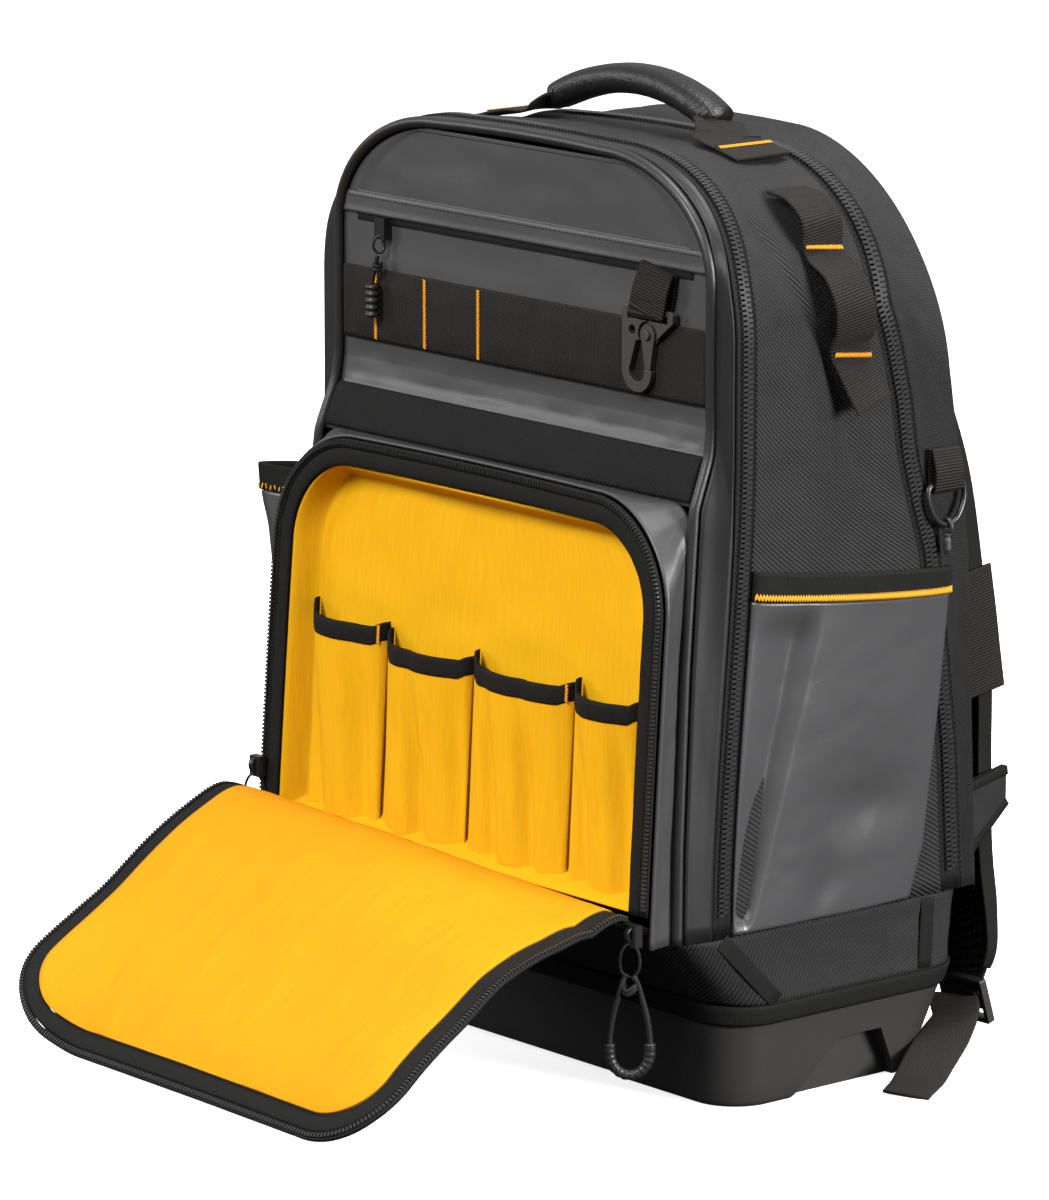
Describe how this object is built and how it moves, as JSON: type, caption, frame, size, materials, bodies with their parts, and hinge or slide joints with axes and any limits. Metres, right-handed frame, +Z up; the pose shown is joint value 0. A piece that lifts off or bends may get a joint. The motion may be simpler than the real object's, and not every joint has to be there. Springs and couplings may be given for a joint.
{
  "type": "tool backpack",
  "caption": "Free-standing tool backpack on a moulded base, front pocket unzipped with its lined door folded down, with tool pockets, side pockets, grip handle and shoulder straps.",
  "frame": {"origin": "on the floor under the middle of the moulded base", "axes": "+X to the right seen from the front, -Y towards the front pocket and its door, +Y towards the wearer's back, +Z up"},
  "size_m": [0.4154, 0.445, 0.506],
  "materials": {
    "tarp": "coated cloth, soft sheen",
    "woven": "coarse diagonal weave",
    "webbing": "ribbed webbing",
    "zip": "moulded teeth on tape",
    "yellow": "smooth lining cloth",
    "plastic": "fine grained moulding",
    "rubber": "matt",
    "steel": "dark grey satin"
  },
  "bodies": {
    "pack": {"front_strip": "tarp", "front_panel": "tarp", "welt_flap": "tarp", "pocket_bellows": "tarp", "door_shell": "tarp", "side_pocket_left": "tarp", "side_pocket_right": "tarp", "woven_band": "woven", "side_gusset": "woven", "back_gusset": "woven", "back_panel": "woven", "padded_band": "woven", "shoulder_strap_left": "woven", "shoulder_strap_right": "woven", "hip_wing_left": "woven", "hip_wing_right": "woven", "base_binding": "webbing", "webbing_band": "webbing", "pocket_binding": "webbing", "door_binding": "webbing", "hook_tab": "webbing", "side_pocket_rim_left": "webbing", "side_pocket_rim_right": "webbing", "handle_webbing_left": "webbing", "handle_webbing_right": "webbing", "side_loops": "webbing", "strap_tail_left": "webbing", "strap_tail_right": "webbing", "ring_loop": "webbing", "strap_trim": "webbing", "pull_cord_left": "webbing", "pull_cord_right": "webbing", "top_cord": "webbing", "front_zip": "zip", "main_zip": "zip", "pocket_zip": "zip", "door_zip": "zip", "door_slider_left": "zip", "door_slider_right": "zip", "top_slider": "zip", "pocket_liner": "yellow", "tool_pocket_1": "yellow", "tool_pocket_2": "yellow", "tool_pocket_3": "yellow", "tool_pocket_4": "yellow", "door_lining": "yellow", "base": "plastic", "strap_buckle_left": "plastic", "strap_buckle_right": "plastic", "snap_clip": "plastic", "front_piping": "rubber", "handle_grip": "rubber", "pull_grip_left": "rubber", "pull_grip_right": "rubber", "top_grip": "rubber", "hook_frame": "steel", "hook_rivet": "steel", "d_ring": "steel"},
    "gate": {"hook_gate": "steel"}
  },
  "joints": [
    {"name": "gate_hinge", "type": "hinge", "parent": "pack", "child": "gate", "pos_m": [0.103, -0.0867, 0.3885], "axis": [0, 1, 0], "range_deg": [0, 18], "stiffness_Nm_per_rad": 0.01}
  ]
}
